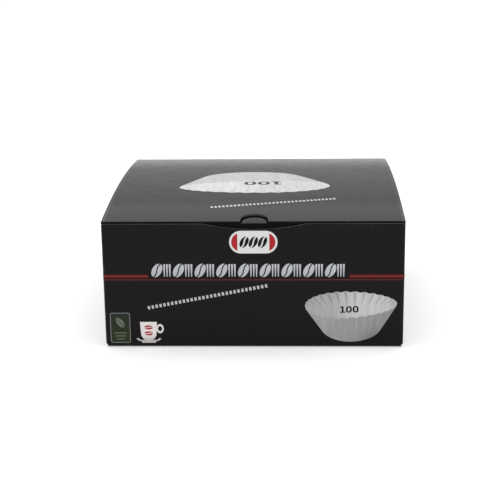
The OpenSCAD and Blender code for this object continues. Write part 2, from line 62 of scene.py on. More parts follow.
MM = 0.001
CARTON_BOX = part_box("carton")
NEST_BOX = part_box("filter_stack")
WIDTH = float(CARTON_BOX[1][0] - CARTON_BOX[0][0])
DEPTH = float(CARTON_BOX[1][1] - CARTON_BOX[0][1])
FLAP_TOP = float(CARTON_BOX[1][2])
NEST_FLOOR = float(NEST_BOX[0][2])
NEST_TOP = float(NEST_BOX[1][2])
NEST_RADIUS = float(NEST_BOX[1][0])


def metres(title, about, default):
    """A length in metres."""
    return FloatProperty(name=title, description=about, default=default, unit="LENGTH", precision=4)


def degrees(title, about, default):
    """An angle, given in degrees."""
    return FloatProperty(name=title, description=about, default=math.radians(default), unit="ROTATION")


def amount(title, about, default, **limits):
    """A plain number."""
    return FloatProperty(name=title, description=about, default=default, **limits)


def paint(title, about, default):
    """A colour."""
    return FloatVectorProperty(name=title, description=about, default=default, subtype="COLOR")


def spot(title, about, default):
    """Two lengths in metres, on the front or on the lid."""
    return FloatVectorProperty(name=title, description=about, default=default, size=2, unit="LENGTH")


class CardSettings(bpy.types.PropertyGroup):
    """Sizes and colours of the folded card"""

    height: metres("Height", "Height of the lid's front and back edges", 0.091)
    thickness: metres("Card", "Thickness of the card", 0.0005)
    fold: metres("Fold", "Outer radius of a folded edge", 0.0012)
    lid_rise: metres("Lid rise", "Arch of the lid above its edges", 0.0054)
    lid_fold: metres("Lid fold", "Outer radius of the lid's front fold", 0.001)
    tuck: metres("Tuck flap", "Length of the flap behind the front wall", 0.028)
    tuck_lean: degrees("Tuck lean", "Lean of the tuck flap", 5)
    notch_width: metres("Notch width", "Width of the front wall's notch", 0.072)
    notch_depth: metres("Notch depth", "Depth of the front wall's notch", 0.0038)
    thumb_place: metres("Thumb place", "Sideways place of the notch and the tab", 0.001)
    tab: metres("Thumb tab", "Radius of the half-moon tab", 0.009)
    slit: metres("Slit", "Width of the slit round the tab", 0.0007)
    flap_length: metres("Side flaps", "Length of each side flap under the lid", 0.075)
    flap_spring: metres("Flap spring", "Lift of a side flap's free end", 0.00126)
    black: paint("Black", "Colour of the printed side", (0.0018, 0.0011, 0.0015))
    board: paint("Board", "Colour of the plain inner side", (0.34, 0.315, 0.275))
    gloss: amount("Varnish", "Specular level of the black varnish", 0.158, min=0, max=1)
    rough: amount("Roughness", "Roughness of the varnish near the folds", 0.20, min=0, max=1)
    lid_rough: amount(
        "Lid roughness", "Roughness of the varnish on the middle of the lid", 0.34, min=0, max=1)


class NestSettings(bpy.types.PropertyGroup):
    """Sizes and colour of the nested filters"""

    filters: IntProperty(name="Filters", description="Number of filters in the nest", default=100, min=2)
    pleats: IntProperty(name="Pleats", description="Number of pleats round a filter", default=48, min=8)
    base: metres("Base", "Diameter of the flat base", 0.108)
    pleat_depth: metres("Pleat depth", "Depth of a pleat at the rim", 0.005)
    pitch: metres("Pitch", "Rise of one filter over the next", 0.00026)
    unevenness: metres("Unevenness", "How far single rims stand in or out", 0.00045)
    paper: paint("Paper", "Colour of the bleached paper", (0.80, 0.79, 0.755))


class PrintSettings(bpy.types.PropertyGroup):
    """Colours of the inks, and places of the stripes and of the pictured rims"""

    red: paint("Red", "Core of the wide stripe", (0.205, 0.026, 0.024))
    dark_red: paint("Dark red", "Edges of the wide stripe", (0.050, 0.0015, 0.002))
    fine_red: paint("Fine red", "The thin stripe", (0.105, 0.022, 0.021))
    badge_red: paint("Badge red", "The badge's ends and the cup's marks", (0.37, 0.020, 0.026))
    wide_core: metres("Wide stripe", "Height of the wide stripe's core", 0.0521)
    fine_height: metres("Thin stripe", "Height of the thin stripe", 0.0495)
    row_left: metres("Row, left", "Where the wide stripe stops, left of the ornament row", -0.0735)
    row_right: metres("Row, right", "Where it starts again, right of the row", 0.0669)
    silver: paint("Silver", "Silver-grey ink", (0.47, 0.48, 0.52))
    white: paint("White", "Tint of the white ink", (0.98, 1.0, 1.0))
    cup_white: paint("Cup white", "Tint of the cup", (1.0, 0.95, 0.93))
    grey: paint("Grey", "Tint of the grey ink", (1.0, 1.0, 1.0))
    green: paint("Green", "Green ink, at the label's head", (0.008, 0.017, 0.006))
    olive: paint("Olive", "Green ink, at the label's foot", (0.013, 0.023, 0.004))
    mouth: spot("Mouth", "Middle of the front picture's rim, across and up", (0.0681, 0.0312))
    mouth_size: spot("Mouth size", "Half width and half height of that rim", (0.0323, 0.0100))
    mouth_slope: amount("Mouth slope", "Rise of that rim to the right", 0.026)
    lid_mouth: spot(
        "Lid mouth", "Middle of the lid picture's rim, across and to the front", (-0.0011, 0.0204))
    lid_mouth_size: spot("Lid mouth size", "Half width and half depth of that rim", (0.0569, 0.0186))
    lid_mouth_slope: amount("Lid mouth slope", "Slant of that rim towards the back at its right", -0.035)
    mouth_skew: amount("Mouth skew", "How much fuller the rims are on one side", 0.15)


class StageSettings(bpy.types.PropertyGroup):
    """Camera, floor and light"""

    eye: FloatVectorProperty(
        name="Eye", description="Place of the camera", default=(0.03070, -0.93175, 0.30956),
        subtype="TRANSLATION")
    pitch: degrees("Pitch", "How far the camera looks down", 16.08)
    yaw: degrees("Yaw", "How far the camera looks to the left", -2.261)
    roll: degrees("Roll", "Roll of the camera", -0.729)
    lens: amount("Lens", "Focal length in millimetres", 89.66, min=10)
    floor: paint("Floor", "Colour of the floor", (0.74, 0.74, 0.74))
    floor_glow: amount("Floor glow", "Light that the floor gives off", 0.31, min=0)
    sky: amount("Surround", "Strength of the white surround", 1.0, min=0)
    key: amount("Soft box", "Power of the soft box overhead", 14.0, min=0)


# Shader building


def put(tree, socket, value):
    """Links value to the socket where it is a socket, and sets it there where it is a number or colour."""
    if isinstance(value, bpy.types.NodeSocket):
        tree.links.new(value, socket)
    elif hasattr(socket.default_value, "__len__") and not hasattr(value, "__len__"):
        socket.default_value = [value] * len(socket.default_value)
    elif hasattr(value, "__len__") and len(socket.default_value) == 4 and len(value) == 3:
        socket.default_value = (*value, 1.0)
    else:
        socket.default_value = value


def feed(tree, node, values):
    """Sets a node's sockets, each named by its name or number, or links them where a value is a socket."""
    for key, value in values.items():
        put(tree, node.inputs[key], value)


def calc(tree, kind, a, b):
    """One math node: kind of a and b."""
    node = tree.nodes.new("ShaderNodeMath")
    node.operation = kind
    feed(tree, node, {0: a, 1: b})
    return node.outputs[0]


def product(tree, a, b):
    """a times b."""
    return calc(tree, "MULTIPLY", a, b)


def ramp(tree, value, low, high, to_low=0.0, to_high=1.0):
    """value carried smoothly from low..high to to_low..to_high, and held beyond."""
    node = tree.nodes.new("ShaderNodeMapRange")
    node.interpolation_type = "SMOOTHSTEP"
    feed(tree, node, {"Value": value, "From Min": low, "From Max": high, "To Min": to_low, "To Max": to_high})
    return node.outputs["Result"]


def blend(tree, share, a, b, kind="MIX"):
    """Colour a where share is 0 and b where it is 1."""
    node = tree.nodes.new("ShaderNodeMix")
    node.data_type = "RGBA"
    node.blend_type = kind
    feed(tree, node, {0: share, 6: a, 7: b})
    return node.outputs[2]


def mixed(tree, share, a, b):
    """Number a where share is 0 and b where it is 1."""
    node = tree.nodes.new("ShaderNodeMix")
    node.data_type = "FLOAT"
    feed(tree, node, {0: share, 2: a, 3: b})
    return node.outputs[0]


def between(tree, value, low, high, soft):
    """1 where value is from low to high and 0 elsewhere, with soft ends."""
    rise = ramp(tree, value, low - soft, low + soft)
    fall = ramp(tree, value, high - soft, high + soft, 1.0, 0.0)
    return product(tree, rise, fall)


def on_wall(tree, across, up, rim, edge):
    """1 on the pictured filter's outer wall, below the rim's middle line and outside its skewed oval.
    The rim is its middle, its two radii, its slope and its skew; edge is the oval's own size, about 1."""
    middle, radii, slope, skew = rim
    off = calc(tree, "SUBTRACT", across, middle[0])
    a = calc(tree, "DIVIDE", off, radii[0])
    level = calc(tree, "SUBTRACT", calc(tree, "SUBTRACT", up, middle[1]), product(tree, off, slope))
    tall = product(tree, calc(tree, "SUBTRACT", 1.0, product(tree, a, skew)), radii[1])
    b = calc(tree, "DIVIDE", level, tall)
    oval = calc(tree, "ADD", calc(tree, "POWER", a, 2.0), calc(tree, "POWER", b, 2.0))
    return product(tree, ramp(tree, oval, edge - 0.04, edge + 0.04), ramp(tree, b, 0.04, -0.04))


def scaled(tint, share):
    """A colour times a share."""
    return tuple(share * v for v in tint)


def place(tree, scale=(1, 1, 1)):
    """Object coordinates, scaled along each axis."""
    coords = tree.nodes.new("ShaderNodeTexCoord")
    node = tree.nodes.new("ShaderNodeMapping")
    node.inputs["Scale"].default_value = scale
    tree.links.new(coords.outputs["Object"], node.inputs["Vector"])
    return node.outputs["Vector"]


def axes(tree):
    """Object coordinates as three numbers, in metres."""
    coords = tree.nodes.new("ShaderNodeTexCoord")
    node = tree.nodes.new("ShaderNodeSeparateXYZ")
    tree.links.new(coords.outputs["Object"], node.inputs[0])
    return node.outputs


def grain(tree, where, scale, detail=2.0, roughness=0.5):
    """Noise from 0 to 1, mostly near a half."""
    node = tree.nodes.new("ShaderNodeTexNoise")
    feed(tree, node, {"Vector": where, "Scale": scale, "Detail": detail, "Roughness": roughness})
    return node.outputs["Fac"]


def relief(tree, height, distance, under=None):
    """Bump of that height, on top of another bump where one is given."""
    node = tree.nodes.new("ShaderNodeBump")
    feed(tree, node, {"Strength": 1.0, "Distance": distance, "Height": height})
    if under is not None:
        tree.links.new(under, node.inputs["Normal"])
    return node.outputs["Normal"]


def finish_named(name):
    """A new material, with its tree and its shader."""
    material = bpy.data.materials.new(name)
    material.use_nodes = True
    tree = material.node_tree
    return material, tree, tree.nodes["Principled BSDF"]


def reading(tree, name):
    """The mesh's own attribute of that name, as a number."""
    node = tree.nodes.new("ShaderNodeAttribute")
    node.attribute_name = name
    return node.outputs["Fac"]


SOCKETS = {"colour": "Base Color", "rough": "Roughness", "gloss": "Specular IOR Level", "bump": "Normal"}


def coat(tree, shader, **values):
    """Feeds the shader's own colour, roughness, gloss and bump."""
    feed(tree, shader, {SOCKETS[name]: value for name, value in values.items()})


# Finishes


def black_varnish(card, name="black_varnish"):
    """Black ink under satin varnish: slow waves in the card, fine fibres, and folds rubbed a little grey."""
    material, tree, shader = finish_named(name)
    where = place(tree)
    fibres = grain(tree, place(tree, (1.0, 1.0, 2.5)), 900, 3)
    clouds = ramp(tree, grain(tree, where, 40, 3), 0.3, 0.7)
    tone = blend(tree, clouds, scaled(card.black, 0.86), scaled(card.black, 1.18))
    patchy = ramp(tree, grain(tree, where, 28, 2), 0.42, 0.66)
    specks = ramp(tree, grain(tree, where, 480, 5, 0.75), 0.48, 0.66)
    rub = product(tree, product(tree, patchy, specks), reading(tree, "wear"))
    tone = blend(tree, product(tree, rub, 0.30), tone, (0.20, 0.19, 0.175))
    rough = calc(tree, "ADD", card.rough, varnish_grain(tree))
    waves = relief(tree, grain(tree, where, 14, 1), 0.00006)
    bump = relief(tree, fibres, 0.000008, waves)
    coat(tree, shader, colour=tone, rough=rough, gloss=card.gloss, bump=bump)
    return material, tree, shader


def varnish_grain(tree):
    """Small differences of the varnish's roughness, from 0 to 0.035."""
    return ramp(tree, grain(tree, place(tree), 110, 3), 0.3, 0.7, 0.0, 0.035)


def wall_varnish(card, inks):
    """The walls' varnish: black, with a dark red shade above and below the two stripes."""
    material, tree, shader = black_varnish(card)
    x, y, z = axes(tree)
    wide = between(tree, z, inks.wide_core - 0.0018, inks.wide_core + 0.0014, 0.0007)
    row = between(tree, x, inks.row_left, inks.row_right, 0.0004)
    front = ramp(tree, y, -0.1036, -0.1044)
    wide = product(tree, wide, calc(tree, "SUBTRACT", 1.0, product(tree, row, front)))
    fine = between(tree, z, inks.fine_height - 0.0007, inks.fine_height + 0.0007, 0.0009)
    share = calc(tree, "MAXIMUM", wide, product(tree, fine, 0.4))
    black = shader.inputs["Base Color"].links[0].from_socket
    tone = blend(tree, share, black, inks.dark_red)
    coat(tree, shader, colour=tone, gloss=0.88 * card.gloss)
    return material


def lid_varnish(card):
    """The lid's varnish: the same black, more matt in the middle than near the crease and the front fold."""
    material, tree, shader = black_varnish(card, "lid_varnish")
    y = axes(tree)[1]
    behind = ramp(tree, y, 0.035, 0.102)
    before = ramp(tree, y, -0.055, -0.085)
    near_fold = calc(tree, "MAXIMUM", behind, before)
    rough = mixed(tree, near_fold, card.lid_rough, card.rough)
    coat(tree, shader, rough=calc(tree, "ADD", rough, varnish_grain(tree)))
    return material


def tuck_varnish(card):
    """The front fold and the tuck flap, nearly matt: the black's gloss is cut to a third as painted shade,
    darkening them in the recess behind the front wall.
    """
    material, tree, shader = black_varnish(card, "tuck_varnish")
    coat(tree, shader, gloss=0.35 * card.gloss, rough=calc(tree, "ADD", 0.30, varnish_grain(tree)))
    return material


def plain_board(card):
    """Uncoated inner side of the board: grey-brown, matt, with pale and dark fibres."""
    material, tree, shader = finish_named("plain_board")
    where = place(tree)
    long_fibres = grain(tree, place(tree, (1.0, 0.25, 1.0)), 1500, 3, 0.7)
    clouds = ramp(tree, grain(tree, where, 170, 4, 0.6), 0.3, 0.7)
    tone = blend(tree, clouds, scaled(card.board, 0.96), scaled(card.board, 1.03))
    tone = blend(tree, ramp(tree, long_fibres, 0.60, 0.74), tone, (0.16, 0.14, 0.115))
    tone = blend(tree, ramp(tree, long_fibres, 0.36, 0.26), tone, (0.52, 0.50, 0.45))
    coat(tree, shader, colour=tone, rough=0.86, gloss=0.25, bump=relief(tree, long_fibres, 0.00003))
    return material


def cut_edge(name, level):
    """Cut edge of the board: grey fibres between the inks, darker and paler than a grey level."""
    material, tree, shader = finish_named(name)
    fibres = grain(tree, place(tree), 1300, 3, 0.7)
    dark = scaled((1.0, 0.96, 0.92), 0.55 * level)
    pale = scaled((1.0, 0.98, 0.95), 1.5 * level)
    tone = blend(tree, ramp(tree, fibres, 0.3, 0.7), dark, pale)
    coat(tree, shader, colour=tone, rough=0.9, gloss=0.2, bump=relief(tree, fibres, 0.00004))
    return material


def filter_paper(nest):
    """Bleached filter paper: soft fibre clouds, a fine crepe, a little light let through, and painted shade
    that greys the lower line of each stacked rim and the top filter's lip.
    """
    material, tree, shader = finish_named("filter_paper")
    where = place(tree)
    crepe = grain(tree, place(tree, (1.0, 1.0, 0.6)), 1100, 4, 0.65)
    clouds = grain(tree, where, 120, 4, 0.6)
    tone = blend(tree, ramp(tree, clouds, 0.25, 0.75), scaled(nest.paper, 0.93), nest.paper)
    # Painted shade: the paper greys by the mesh's attribute, which is 1 on the lower inner line of each
    # stacked rim and 0.6 on the top filter's lip, standing in for the shade between the rims
    edge = product(tree, reading(tree, "wear"), 0.35)
    tone = blend(tree, edge, tone, (0.46, 0.45, 0.42))
    through = {"Weight": 0.25, "Radius": (1.0, 0.95, 0.85), "Scale": 0.0012}
    feed(tree, shader, {"Subsurface " + key: value for key, value in through.items()})
    bump = relief(tree, crepe, 0.00006, relief(tree, clouds, 0.0003))
    coat(tree, shader, colour=tone, rough=0.95, gloss=0.15, bump=bump)
    return material


def ink(name, colour, gloss=0.2):
    """Ink under varnish: a halftone of fine dots, slow mottling and the card's fibres. The colour is built
    in the tree by the function that is given."""
    material, tree, shader = finish_named(name)
    tone = colour(tree)
    where = place(tree)
    dots = ramp(tree, grain(tree, where, 2600, 1), 0.35, 0.65)
    share = product(tree, calc(tree, "ADD", dots, grain(tree, where, 160, 3)), 0.5)
    dark = tinted(tree, (0.90, 0.90, 0.90), tone)
    tone = blend(tree, share, dark, tone)
    rough = ramp(tree, grain(tree, where, 70, 3), 0.3, 0.7, 0.34, 0.44)
    bump = relief(tree, grain(tree, where, 900, 3), 0.000015)
    coat(tree, shader, colour=tone, rough=rough, gloss=gloss, bump=bump)
    return material


def tinted(tree, level, tint):
    """A tint times a grey level."""
    return blend(tree, 1.0, tint, level, "MULTIPLY")


def soft_pleats(tree, scale):
    """Faint streaks that run down a pictured filter, about 1."""
    return ramp(tree, grain(tree, place(tree, scale), 420, 2), 0.3, 0.7, 0.93, 1.05)


def red_tone(tree, inks):
    """Red by height: the wide stripe's core and edges, the thin stripe, the badge and the cup's marks."""
    z = axes(tree)[2]
    core = between(tree, z, inks.wide_core - 0.0005, inks.wide_core + 0.0006, 0.00025)
    stripe = blend(tree, core, inks.dark_red, inks.red)
    fine = between(tree, z, inks.fine_height - 0.001, inks.fine_height + 0.001, 0.0002)
    stripe = blend(tree, fine, stripe, inks.fine_red)
    marks = calc(tree, "SUBTRACT", 1.0, between(tree, z, 0.030, 0.062, 0.001))
    return blend(tree, marks, stripe, inks.badge_red)


def silver_tone(tree, inks):
    """Silver, a little paler towards the top of the row."""
    z = axes(tree)[2]
    return tinted(tree, ramp(tree, z, 0.052, 0.062, 0.90, 1.02), inks.silver)


def front_rim(inks):
    """The rim in the front picture."""
    return inks.mouth, inks.mouth_size, inks.mouth_slope, inks.mouth_skew


def picture_inside(tree, x):
    """Grey level inside the front picture's mouth: shaded at the left, and a little at the right."""
    left = ramp(tree, x, 0.054, 0.071, 0.37, 0.51)
    right = ramp(tree, x, 0.091, 0.100, 1.0, 0.84)
    return product(tree, left, right)


def far_side_shade(tree, x, z):
    """Shade on the front picture's outer wall towards its right side, deeper near the foot."""
    along_side = calc(tree, "SUBTRACT", x, product(tree, z, 0.6))
    return ramp(tree, along_side, 0.062, 0.0835, 1.0, ramp(tree, z, 0.004, 0.020, 0.60, 0.85))


def white_tone(tree, inks):
    """White by place: the picture with its shaded left and outer wall, the dashes, the cup and the badge."""
    x, _, z = axes(tree)
    wall = on_wall(tree, x, z, front_rim(inks), 1.0)
    ribs = product(tree, far_side_shade(tree, x, z), 0.325)
    level = mixed(tree, wall, picture_inside(tree, x), ribs)
    picture = product(tree, level, soft_pleats(tree, (1.0, 1.0, 0.12)))
    dashes = ramp(tree, z, 0.058, 0.066, 0.46, 0.67)
    cup = ramp(tree, z, 0.0205, 0.0225, ramp(tree, z, 0.004, 0.009, 0.46, 0.72), dashes)
    on_picture = ramp(tree, x, 0.030, 0.032)
    level = mixed(tree, on_picture, cup, picture)
    warm = product(tree, ramp(tree, z, 0.0225, 0.0205), calc(tree, "SUBTRACT", 1.0, on_picture))
    return tinted(tree, level, blend(tree, warm, inks.white, inks.cup_white))


def grey_tone(tree, inks):
    """Grey by place: the picture's folds and outer wall, and the label's outline with its duller marks."""
    x, _, z = axes(tree)
    wall = on_wall(tree, x, z, front_rim(inks), 0.80)
    folds = product(tree, picture_inside(tree, x), ramp(tree, z, 0.026, 0.037, 0.93, 0.72))
    shade = product(tree, ramp(tree, x, 0.045, 0.072, 0.31, 0.283), far_side_shade(tree, x, z))
    picture = product(tree, mixed(tree, wall, folds, shade), soft_pleats(tree, (1.0, 1.0, 0.12)))
    level = mixed(tree, ramp(tree, x, 0.030, 0.032), 0.17, picture)
    inner_x = between(tree, x, -0.0997, -0.0883, 0.0003)
    inner_z = between(tree, z, 0.0045, 0.0235, 0.0003)
    inner = product(tree, inner_x, inner_z)
    tint = blend(tree, inner, inks.grey, (0.66, 0.78, 0.55))
    return tinted(tree, level, tint)


def green_tone(tree, inks):
    """Dark green, more olive towards the foot."""
    return blend(tree, ramp(tree, axes(tree)[2], 0.004, 0.020), inks.olive, inks.green)


def lid_paper(tree, inks, inside, outside, edge):
    """One grey level inside the lid picture's mouth, paler at one end, and another on its outer wall, with
    faint streaks."""
    x, y, _ = axes(tree)
    rim = (inks.lid_mouth, inks.lid_mouth_size, inks.lid_mouth_slope, -inks.mouth_skew)
    wall = on_wall(tree, x, product(tree, y, -1.0), rim, edge)
    mouth = product(tree, ramp(tree, x, -0.030, 0.030, 1.06, 0.95), inside)
    return product(tree, mixed(tree, wall, mouth, outside), soft_pleats(tree, (1.0, 0.12, 1.0)))


# Meshes

# Material index of the front fold and the tuck flap; the board and the cut edge follow it, as they follow 0
TUCK = 3


def arc(centre, radius, start, end, steps):
    """Points centre + radius (cos t, sin t), with t from start to end in degrees."""
    t = np.radians(np.linspace(start, end, steps + 1))
    return np.stack([centre[0] + radius * np.cos(t), centre[1] + radius * np.sin(t)], axis=1)


def line(a, b, steps, margin=0.6):
    """Points from a to b, with one a margin from each end, so that a flat stays flat up to a fold."""
    a, b = np.asarray(a, float), np.asarray(b, float)
    edge = min(margin / max(np.linalg.norm(b - a), 1e-9), 0.25)
    t = np.concatenate([[0.0], np.linspace(edge, 1 - edge, steps), [1.0]])[:, None]
    return a + (b - a) * t


def joined(*parts):
    """Paths one after another, without the points that two of them share."""
    points = [parts[0]]
    for part in parts[1:]:
        same = np.allclose(points[-1][-1], part[0], atol=1e-6)
        points.append(part[1:] if same else part)
    return np.concatenate(points)


def spread(low, high, step, margin=0.6):
    """Places from low to high about step apart, with one a margin from each end."""
    count = max(int(round((high - low) / step)), 1)
    return np.concatenate([[low], np.linspace(low + margin, high - margin, count), [high]])


def swept_x(path, xs):
    """Grid whose rows follow a path of (y, z) and whose columns are the places xs."""
    rows = np.repeat(path[:, None, :], len(xs), axis=1)
    across = np.repeat(np.asarray(xs, float)[None, :], len(path), axis=0)
    return np.concatenate([across[..., None], rows], axis=2)


def faces_of(grid, first, facing):
    """Quads of a grid whose vertices start at first, wound so that they face the way that facing says."""
    rows, columns = grid.shape[:2]
    index = first + np.arange(rows * columns).reshape(rows, columns)
    quads = np.stack([index[:-1, :-1], index[:-1, 1:], index[1:, 1:], index[1:, :-1]], axis=-1).reshape(-1, 4)
    a, b, c = grid[:-1, :-1], grid[:-1, 1:], grid[1:, 1:]
    normals = np.cross(b - a, c - b)
    kind, vector = facing
    wanted = (a + c) / 2 - np.asarray(vector) if kind == "from" else np.broadcast_to(vector, normals.shape)
    if np.sum(normals * wanted) < 0:
        quads = quads[:, ::-1]
    return quads


def piece(name, patches, materials):
    """One welded mesh object from patches of (grid in millimetres, wear and painted shade, facing, material
    index).
    """
    points, quads, slots, wear_and_shade_values = [], [], [], []
    count = 0
    for grid, wear, facing, slot in patches:
        quad = faces_of(grid, count, facing)
        points.append(grid.reshape(-1, 3) * MM)
        wear_and_shade_values.append(np.broadcast_to(wear, grid.shape[:2]).reshape(-1))
        slots.append(np.broadcast_to(np.asarray(slot), (grid.shape[0] - 1, grid.shape[1] - 1)).reshape(-1))
        quads.append(quad)
        count += grid.shape[0] * grid.shape[1]
    mesh = bpy.data.meshes.new(name)
    mesh.from_pydata(np.concatenate(points).tolist(), [], np.concatenate(quads).tolist())
    # This attribute holds real rubbing on the card and painted shade on the filter rims
    wear_and_shade_attribute = mesh.attributes.new("wear", "FLOAT", "POINT")
    wear_and_shade_attribute.data.foreach_set("value", np.concatenate(wear_and_shade_values).astype(np.float32))
    for material in materials:
        mesh.materials.append(material)
    mesh.polygons.foreach_set("material_index", np.concatenate(slots).astype(np.int32))
    weld = bmesh.new()
    weld.from_mesh(mesh)
    bmesh.ops.remove_doubles(weld, verts=weld.verts, dist=2e-6)
    bmesh.ops.dissolve_degenerate(weld, edges=weld.edges, dist=1e-7)
    weld.to_mesh(mesh)
    weld.free()
    mesh.polygons.foreach_set("use_smooth", np.ones(len(mesh.polygons), bool))
    mesh.update()
    made = bpy.data.objects.new(name, mesh)
    bpy.context.scene.collection.objects.link(made)
    return made


def thicken(made, thickness):
    """Gives a sheet its thickness behind the printed side, with the board's and the cut edge's finishes."""
    solid = made.modifiers.new("Card", "SOLIDIFY")
    solid.thickness = thickness
    solid.offset = -1
    solid.use_even_offset = True
    solid.material_offset = 1
    solid.material_offset_rim = 2


# The card's smaller sizes in millimetres, as in the part's source
# Space between faces that slide, radius of the crease's bead and the space below it
SLIDE_GAP = 0.3
BEAD = 0.3
CREASE_GAP = 0.1
# Thumb tab: its root to the centre of its round end, its root's drop below the front fold, and its rise
TAB_REACH = 3.3
TAB_DROP = 1.5
TAB_SLOPE = math.radians(8)
# Tuck flap: its free corners' radius and its distance from the sides
TUCK_CORNER = 10
TUCK_INSET = 3
# Side flaps: the spaces before and behind them, and their cut corners
FLAP_FRONT = 3
FLAP_BACK = 0.8
FLAP_CORNER = 12
# Bottom: its side flaps' length, the inner panel's length and the outer panel's distance from the back
BOTTOM_FLAP = 70
INNER_PANEL = 130
PANEL_GAP = 1.7
# Glued seam: its width, its distance from the ends and the slant of its ends
SEAM = 14
SEAM_GAP = 4
SEAM_SLANT = 3.5


def card_sizes(card):
    """The card's sizes in millimetres, worked out as the part's source does."""
    names = (
        "height", "thickness", "fold", "lid_rise", "lid_fold", "tuck", "notch_width", "notch_depth",
        "thumb_place", "tab", "slit", "flap_length", "flap_spring")
    s = SimpleNamespace(**{name: getattr(card, name) / MM for name in names})
    s.w = WIDTH / MM
    s.d = DEPTH / MM
    s.slide = s.height - s.thickness - FLAP_TOP / MM
    s.flap_top = FLAP_TOP / MM
    s.side_top = s.flap_top - s.fold
    s.front_top = s.height - s.lid_fold - SLIDE_GAP
    s.hinge_y = s.d / 2 - BEAD
    s.hinge_z = s.height - BEAD
    s.back_top = s.hinge_z - 2 * BEAD - CREASE_GAP
    s.arch_r = (s.hinge_y ** 2 + s.lid_rise ** 2) / (2 * s.lid_rise)
    s.arch_z = s.height + s.lid_rise - s.arch_r
    s.fold_y = -s.d / 2 + s.thickness + s.slide + s.lid_fold
    s.fold_z = s.arch_z + math.sqrt((s.arch_r - s.lid_fold) ** 2 - s.fold_y ** 2)
    return s


def near(values, target, reach):
    """1 where values are at the target, falling to 0 a reach away."""
    return np.clip(1 - np.abs(values - target) / reach, 0, 1)


def wall_patches(s):
    """The four walls: a rounded rectangle carried up from the bottom folds to each wall's own top edge."""
    half_w, half_d, r = s.w / 2, s.d / 2, s.fold
    xs = np.unique(np.concatenate([
        spread(-half_w + r, half_w - r, 8),
        np.linspace(s.thumb_place - s.notch_width / 2, s.thumb_place + s.notch_width / 2, 37)]))
    ys = spread(-half_d + r, half_d - r, 9)
    front = np.stack([xs, np.full_like(xs, -half_d)], axis=1)
    right = np.stack([np.full_like(ys, half_w), ys], axis=1)
    back = np.stack([xs[::-1], np.full_like(xs, half_d)], axis=1)
    # The glued seam shows as a thin line of bare board beside the back left corner
    seam = np.array([half_d - r - 0.8, half_d - r - 0.38])
    left_y = np.concatenate([[half_d - r], seam[::-1], ys[::-1][2:]])
    left = np.stack([np.full_like(left_y, -half_w), left_y], axis=1)
    corner = [arc((sx * (half_w - r), sy * (half_d - r)), r, a, a + 90, 6) for sx, sy, a in (
        (1, -1, -90), (1, 1, 0), (-1, 1, 90), (-1, -1, 180))]
    runs = [front, corner[0], right, corner[1], back, corner[2], left, corner[3]]
    tops = []
    for k, run in enumerate(runs):
        top = np.full(len(run), s.side_top)
        if k == 0:
            off = run[:, 0] - s.thumb_place
            notch_r = ((s.notch_width / 2) ** 2 + s.notch_depth ** 2) / (2 * s.notch_depth)
            level = np.sqrt(notch_r ** 2 - np.clip(np.abs(off), 0, 40) ** 2)
            bottom = s.front_top - s.notch_depth + notch_r - level
            in_notch = np.abs(off) < s.notch_width / 2
            top = np.minimum(s.front_top, np.where(in_notch, bottom, s.front_top))
        if k == 4:
            top = np.full(len(run), s.back_top)
        tops.append(top)
    points = np.concatenate(runs)
    top = np.concatenate(tops)
    low = 2 * s.thickness + r
    t = np.concatenate([[0, 0.008], np.linspace(0.05, 0.95, 12), [0.992, 1.0]])[:, None]
    z = low + (top[None, :] - low) * t
    grid = np.concatenate([np.repeat(points[None, :, :], len(t), axis=0), z[..., None]], axis=2)
    round_corner = np.concatenate([np.full(len(run), k % 2) for k, run in enumerate(runs)])
    wear = np.maximum(round_corner[None, :] * 0.9, near(t, 1.0, 0.01) * 0.7) * np.ones_like(z)
    grid = np.concatenate([grid, grid[:, :1]], axis=1)
    wear = np.concatenate([wear, wear[:, :1]], axis=1)
    slot = np.zeros((grid.shape[0] - 1, grid.shape[1] - 1), int)
    start = sum(len(run) for run in runs[:6])
    slot[:, start + 1] = 2
    return [(grid, wear, ("from", (0, 0, 45)), slot)]


def bottom_patches(s):
    """The bottom: each panel is a path from its wall round a quarter fold and along its own level."""
    t, r = s.thickness, s.fold
    half_w, half_d = s.w / 2, s.d / 2
    start = 2 * t + r
    xs = spread(-half_w + r, half_w - r, 12)
    outer = joined(
        line((-half_d, start), (-half_d, r), 1), arc((-half_d + r, r), r, 180, 270, 6),
        line((-half_d + r, 0), (half_d - PANEL_GAP, 0), 10))
    inner = joined(
        line((half_d, start), (half_d, t + r), 1), arc((half_d - r, t + r), r, 0, -90, 6),
        line((half_d - r, t), (half_d - INNER_PANEL, t), 8))
    side = joined(
        arc((half_w - r, start), r, 0, -90, 6),
        line((half_w - r, 2 * t), (half_w - BOTTOM_FLAP, 2 * t), 6))
    ys = spread(-half_d + t + r, half_d - t - r, 12)
    patches = []
    for path in (outer, inner):
        lowest = near(path[:, 1], 0.35 + path[:, 1].min(), 1.0)[:, None]
        wear = lowest * (np.abs(path[:, :1]) > half_d - r - 0.2)
        patches.append((swept_x(path, xs), wear * np.ones((1, len(xs))), ("from", (0, 0, 45)), 0))
    for sign in (-1, 1):
        grid = swept_x(side, ys)[..., [1, 0, 2]] * np.array([sign, 1, 1])
        patches.append((grid, 0.0, ("from", (0, 0, 45)), 0))
    return patches


